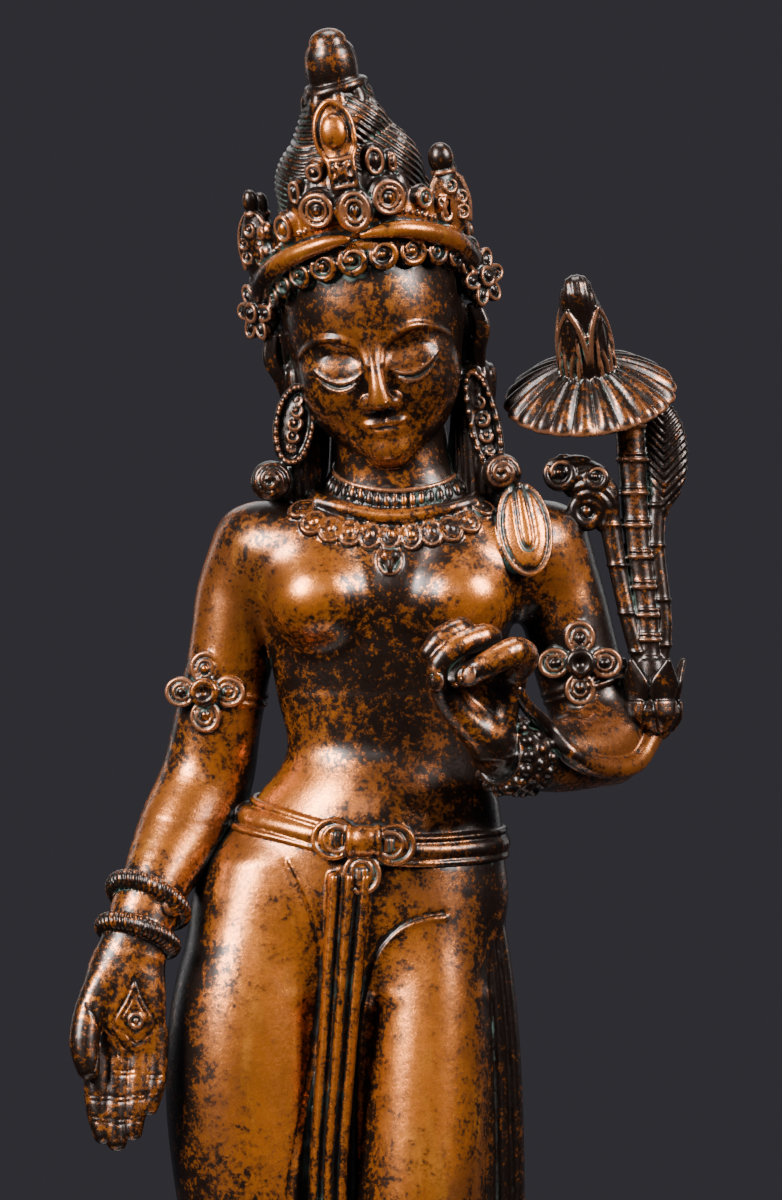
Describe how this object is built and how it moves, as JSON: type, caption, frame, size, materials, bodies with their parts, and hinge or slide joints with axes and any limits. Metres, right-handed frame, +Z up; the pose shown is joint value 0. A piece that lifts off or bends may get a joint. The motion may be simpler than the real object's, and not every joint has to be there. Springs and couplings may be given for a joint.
{
  "type": "standing tara figure",
  "caption": "Cast copper-alloy goddess standing on a low lotus plinth, giving hand lowered, teaching hand raised, with a lotus spray at the shoulder, crown and jewellery.",
  "frame": {"origin": "centre of the plinth's flat underside", "axes": "+Z up along the figure, -Y the way she faces, +X towards her left side with the lotus"},
  "size_m": [0.1227, 0.096, 0.3725],
  "materials": {
    "patinated_bronze": "glossy worn brown-gold patina, dark in the recesses, green in the crevices, rubbed coppery on the edges",
    "plinth_bronze": "glossy brown patina, darker than the figure, with dark recesses between the petals"
  },
  "bodies": {
    "root": {"tara_figure": "patinated_bronze", "lotus_plinth": "plinth_bronze"}
  },
  "joints": []
}
